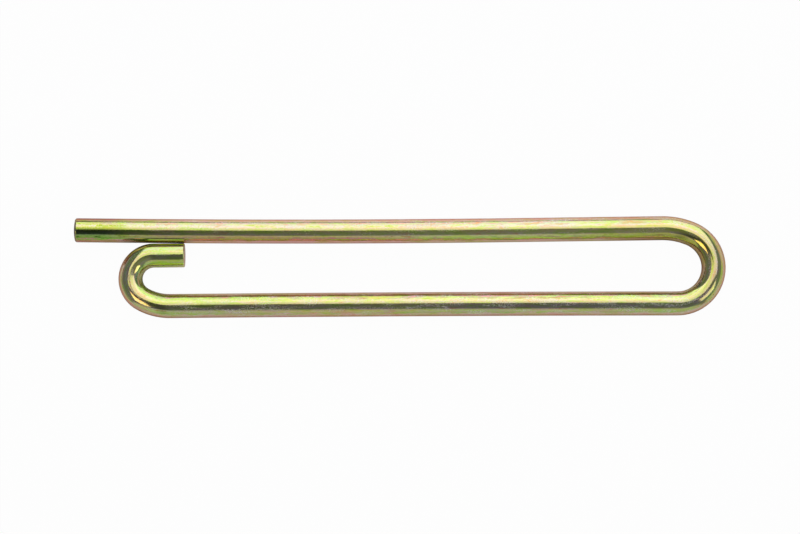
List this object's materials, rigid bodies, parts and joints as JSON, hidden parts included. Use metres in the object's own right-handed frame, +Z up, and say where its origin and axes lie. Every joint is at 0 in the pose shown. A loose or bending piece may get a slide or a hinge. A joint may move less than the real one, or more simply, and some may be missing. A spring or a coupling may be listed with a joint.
{
  "type": "retaining pin",
  "caption": "One-piece bent-wire retaining pin: a long shank, a wide return bend and a springy leg whose hooked end rests on the shank.",
  "frame": {"origin": "middle of the pin's footprint, on the surface it lies on", "axes": "+X along the shank from its free end towards the return bend, +Y from the hooked leg towards the shank, +Z up out of the plane of the wire"},
  "size_m": [0.1354, 0.0222, 0.005],
  "materials": {
    "yellow_zinc": "steel wire, zinc plated and yellow passivated, with an iridescent bright film"
  },
  "bodies": {
    "root": {"retaining_pin": "yellow_zinc"}
  },
  "joints": []
}
